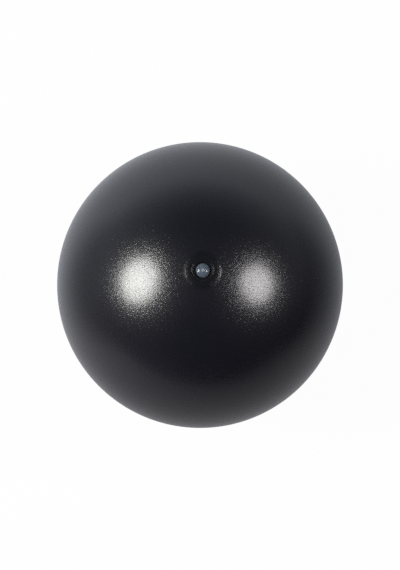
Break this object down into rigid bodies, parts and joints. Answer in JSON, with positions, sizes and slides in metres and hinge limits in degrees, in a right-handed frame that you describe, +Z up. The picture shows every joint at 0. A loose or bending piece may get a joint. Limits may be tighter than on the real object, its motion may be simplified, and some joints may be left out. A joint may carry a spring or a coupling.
{
  "type": "pilates ball",
  "caption": "Small soft inflatable exercise ball with a hollow skin, a welded valve seat and a push-in plug that pulls out of the bore.",
  "frame": {"origin": "middle of the flat patch where the ball rests on the floor", "axes": "+Z up along the valve axis, out through the plug; +X to the right and +Y to the top of the picture"},
  "size_m": [0.25, 0.25, 0.2506],
  "materials": {
    "skin": "satin",
    "seat": "satin",
    "plug": "gloss"
  },
  "bodies": {
    "ball": {"ball_skin": "skin", "valve_seat": "seat"},
    "plug": {"valve_plug": "plug"}
  },
  "joints": [
    {"name": "plug_pull", "type": "slide", "parent": "ball", "child": "plug", "axis": [0, 0, 1], "range_m": [0, 0.03]}
  ]
}
